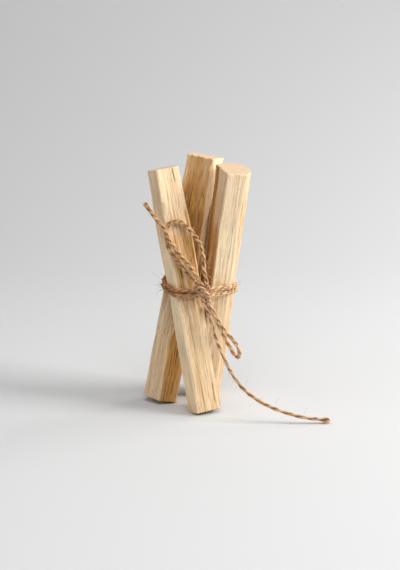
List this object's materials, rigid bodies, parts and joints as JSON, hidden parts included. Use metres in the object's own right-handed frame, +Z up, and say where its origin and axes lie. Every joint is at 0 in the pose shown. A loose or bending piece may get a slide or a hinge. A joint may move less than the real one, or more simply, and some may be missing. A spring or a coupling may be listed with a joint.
{
  "type": "bundle of palo santo sticks",
  "caption": "Bundle of hand-split aromatic wood sticks, splayed on sawn feet and tied at the waist with jute twine in a bow with long tails.",
  "frame": {"origin": "on the surface that the bundle stands on, under the middle of the sticks, wrap and knot", "axes": "+Z up along the bundle, -Y towards the side with the knot, +X to the right seen from that side"},
  "size_m": [0.0742, 0.0442, 0.1013],
  "materials": {
    "wood_front": "raw split, pale cream",
    "wood_back": "raw split, golden brown",
    "wood_right": "raw split, pale straw",
    "jute": "twisted natural fibre"
  },
  "bodies": {
    "root": {"stick_front": "wood_front", "stick_back": "wood_back", "stick_right": "wood_right", "twine_wrap": "jute", "twine_knot": "jute", "twine_loop_upper": "jute", "twine_loop_lower": "jute", "twine_tail_upper": "jute", "twine_tail_lower": "jute"}
  },
  "joints": []
}
